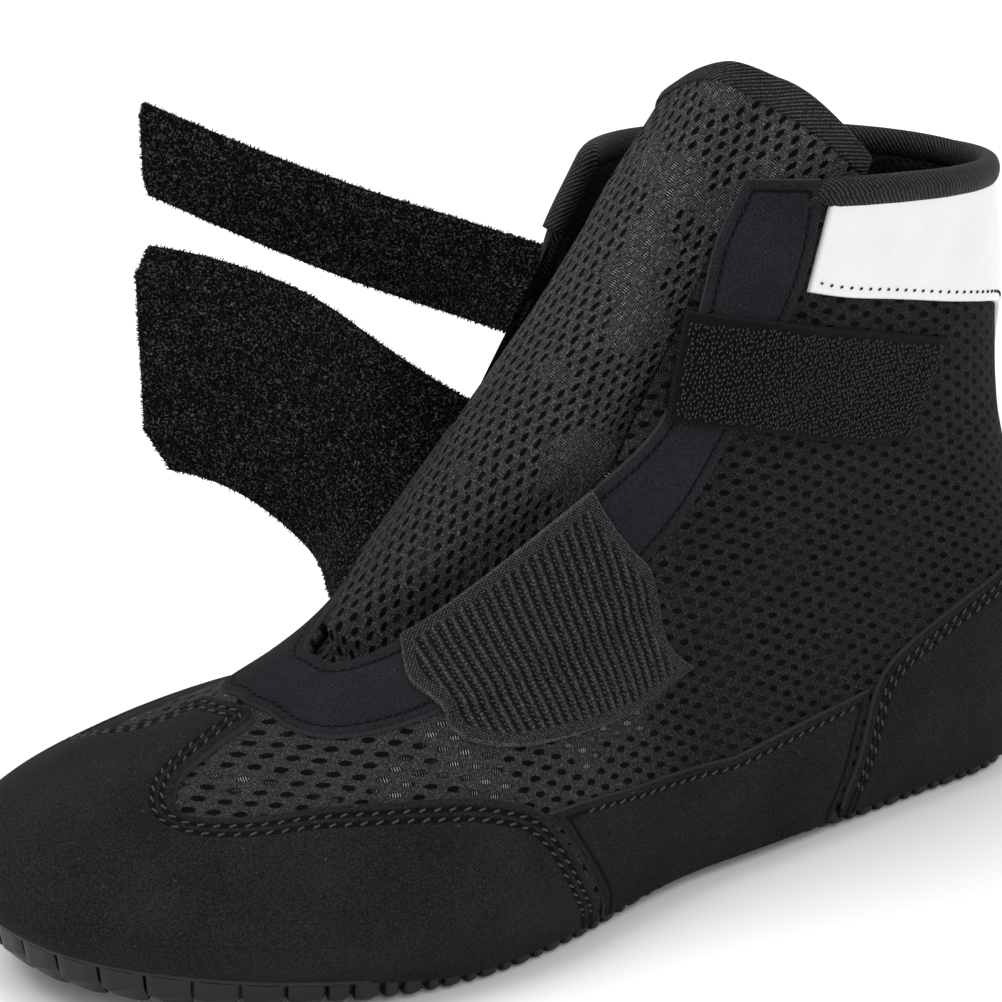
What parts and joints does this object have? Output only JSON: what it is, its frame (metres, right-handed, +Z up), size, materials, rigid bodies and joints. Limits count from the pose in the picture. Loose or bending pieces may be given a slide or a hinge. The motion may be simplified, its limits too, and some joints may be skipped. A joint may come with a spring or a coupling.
{
  "type": "wrestling shoe",
  "caption": "Ankle-high shoe for the left foot with a thin rubber sole, mesh upper with suede overlays, padded tongue and fastening straps held open.",
  "frame": {"origin": "centre of the flat spot under the heel, on the floor", "axes": "+X along the shoe to the toe, +Y to its lateral side, +Z up"},
  "size_m": [0.2758, 0.1579, 0.174],
  "materials": {
    "outsole_rubber": "matt black moulded rubber",
    "insole_foam": "dark cloth-covered foam",
    "spacer_mesh": "black knitted spacer mesh with small oval holes",
    "suede": "black fine-napped suede with stitched edges",
    "white_synthetic": "white satin synthetic leather with a black stitch row",
    "binding_twill": "black ribbed twill tape",
    "hook_tape": "black hook tape with a woven selvedge",
    "loop_tape": "black fuzzy loop tape"
  },
  "bodies": {
    "root": {"outsole": "outsole_rubber", "insole": "insole_foam", "upper": "spacer_mesh", "toe_cap": "suede", "midfoot_rand_lateral": "suede", "midfoot_rand_medial": "suede", "heel_counter": "suede", "throat_facing": "suede", "collar_band": "white_synthetic", "collar_roll": "binding_twill", "hook_patch_lower": "hook_tape", "hook_patch_upper": "hook_tape", "tongue": "spacer_mesh", "tongue_binding": "binding_twill", "strap_upper": "loop_tape", "strap_lower": "loop_tape"}
  },
  "joints": []
}
